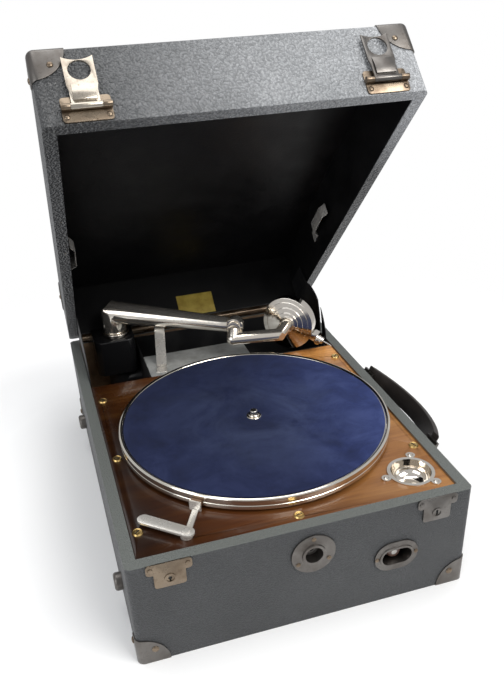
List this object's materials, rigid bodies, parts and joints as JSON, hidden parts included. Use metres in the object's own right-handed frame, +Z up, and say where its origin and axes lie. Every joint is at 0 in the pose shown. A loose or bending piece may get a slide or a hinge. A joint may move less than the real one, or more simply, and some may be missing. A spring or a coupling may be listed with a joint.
{
  "type": "portable wind-up gramophone",
  "caption": "Portable wind-up gramophone in a black covered case, lid open, with velvet turntable, nickel tonearm, sound box, folded horn and stowed crank.",
  "frame": {"origin": "centre of the case's underside, on the surface it stands on", "axes": "+X to the right, +Y to the back where the lid is hinged, +Z up"},
  "size_m": [0.3359, 0.4514, 0.4379],
  "materials": {
    "leathercloth": "pebbled, semi-matt black book cloth",
    "case_wood": "plain sawn, unvarnished",
    "board": "plain, dusty",
    "mahogany": "french polished, glossy",
    "velvet": "dark blue short pile, mottled",
    "nickel": "nickel plate, polished, slightly tarnished",
    "dull_nickel": "nickel plate worn and brown-stained",
    "dark_steel": "dark oxidised steel",
    "steel": "machined, lightly oiled",
    "brass": "turned, dull",
    "zinc_sheet": "galvanised sheet, dull and spotted",
    "black_sheet": "black paint, satin",
    "black_iron": "black japan, semi-gloss",
    "strap_leather": "dark, worn",
    "grip_wood": "turned and polished",
    "rubber": "black",
    "mica": "clear mica with a rubber ring",
    "shoe_leather": "undyed, worn"
  },
  "bodies": {
    "case": {"base_carcass": "case_wood", "base_covering": "leathercloth", "base_floor": "board", "deck_board": "mahogany", "deck_screws": "brass", "base_corner_protectors": "dark_steel", "case_screws": "dark_steel", "lock_plate_left": "dark_steel", "lock_plate_right": "dark_steel", "crank_escutcheon": "dull_nickel", "crank_stow_escutcheon": "dull_nickel", "needle_bowl": "nickel", "horn_body": "black_sheet", "horn_top": "zinc_sheet", "horn_throat": "black_sheet", "tonearm_pedestal": "black_iron", "tonearm_bearing": "nickel", "arm_rest": "nickel", "hinge_base_leaf": "dull_nickel", "side_feet": "dark_steel", "handle_brackets": "dark_steel", "lid_stay_stud": "nickel", "motor_top_plate": "steel", "motor_bottom_plate": "steel", "motor_mounts": "rubber", "crank_cradle": "case_wood"},
    "lid": {"lid_carcass": "case_wood", "lid_covering": "leathercloth", "lid_corner_protectors": "dark_steel", "lid_cheeks": "black_sheet", "record_clip_left": "nickel", "record_clip_right": "dark_steel", "hasp_plates": "dull_nickel", "hinge_lid_leaf": "dull_nickel", "hinge_pin": "steel"},
    "left_hasp": {"hasp_left": "dull_nickel"},
    "right_hasp": {"hasp_right": "dark_steel"},
    "turntable": {"platter": "nickel", "platter_velvet": "velvet", "spindle": "steel"},
    "barrel": {"spring_barrel": "brass", "mainspring": "steel"},
    "arbor": {"winding_arbor": "steel"},
    "winder": {"winding_shaft": "steel"},
    "governor": {"governor_shaft": "steel", "governor_weights": "brass"},
    "speed_regulator": {"speed_knob": "nickel"},
    "brake": {"brake_lever": "nickel", "brake_shoe": "shoe_leather"},
    "tonearm": {"tonearm_tube": "nickel"},
    "sound_box": {"gooseneck": "nickel", "sound_box_shell": "nickel", "diaphragm": "mica", "stylus_bar": "nickel", "needle": "steel", "needle_screw": "nickel"},
    "crank": {"crank_rod": "steel", "crank_grip": "grip_wood"},
    "handle": {"handle_strap": "strap_leather", "handle_loops": "dark_steel"}
  },
  "joints": [
    {"name": "lid_hinge", "type": "hinge", "parent": "case", "child": "lid", "pos_m": [0, 0.2037, 0.10215], "axis": [1, 0, 0], "range_deg": [0, 46.25]},
    {"name": "left_hasp_hinge", "type": "hinge", "parent": "lid", "child": "left_hasp", "pos_m": [-0.113, -0.07023, 0.40515], "axis": [1, 0, 0], "range_deg": [0, 175]},
    {"name": "right_hasp_hinge", "type": "hinge", "parent": "lid", "child": "right_hasp", "pos_m": [0.113, -0.07023, 0.40515], "axis": [1, 0, 0], "range_deg": [0, 175]},
    {"name": "turntable_spin", "type": "hinge", "parent": "case", "child": "turntable", "pos_m": [0.0035, -0.046, 0.1], "axis": [0, 0, 1], "continuous": true},
    {"name": "barrel_spin", "type": "hinge", "parent": "case", "child": "barrel", "pos_m": [0.0035, -0.1, 0.046], "axis": [0, 0, 1], "continuous": true},
    {"name": "governor_spin", "type": "hinge", "parent": "case", "child": "governor", "pos_m": [0.0035, -0.02875, 0.047], "axis": [1, 0, 0], "continuous": true},
    {"name": "arbor_spin", "type": "hinge", "parent": "case", "child": "arbor", "pos_m": [0.0035, -0.1, 0.05], "axis": [0, 0, 1], "continuous": true},
    {"name": "winding_spin", "type": "hinge", "parent": "case", "child": "winder", "pos_m": [0.0035, -0.15, 0.074], "axis": [0, 1, 0], "continuous": true},
    {"name": "speed_turn", "type": "hinge", "parent": "case", "child": "speed_regulator", "pos_m": [0.062, 0.077, 0.1], "axis": [0, 0, 1], "range_deg": [0, 2.5]},
    {"name": "brake_swing", "type": "hinge", "parent": "case", "child": "brake", "pos_m": [-0.0932, -0.1769, 0.1], "axis": [0, 0, 1], "range_deg": [0, 22]},
    {"name": "tonearm_swing", "type": "hinge", "parent": "case", "child": "tonearm", "pos_m": [-0.0945, 0.171, 0.12], "axis": [0, 0, 1], "range_deg": [-27, 0]},
    {"name": "sound_box_lift", "type": "hinge", "parent": "tonearm", "child": "sound_box", "pos_m": [0.0305, 0.107, 0.134], "axis": [-0.4569, -0.8895, 0], "range_deg": [0, 33.8]},
    {"name": "crank_slide", "type": "slide", "parent": "case", "child": "crank", "axis": [0, -1, 0], "range_m": [0, 0.025]},
    {"name": "handle_swing", "type": "hinge", "parent": "case", "child": "handle", "pos_m": [0.1509, -0.04, 0.09], "axis": [0, 1, 0], "range_deg": [-75, 25]}
  ],
  "couplings": [
    {"joint": "barrel_spin", "follows": "turntable_spin", "ratio": -0.22727},
    {"joint": "governor_spin", "follows": "turntable_spin", "ratio": 12},
    {"joint": "winding_spin", "follows": "arbor_spin", "ratio": -2.4444},
    {"joint": "sound_box_lift", "follows": "tonearm_swing", "ratio": -1.25}
  ]
}
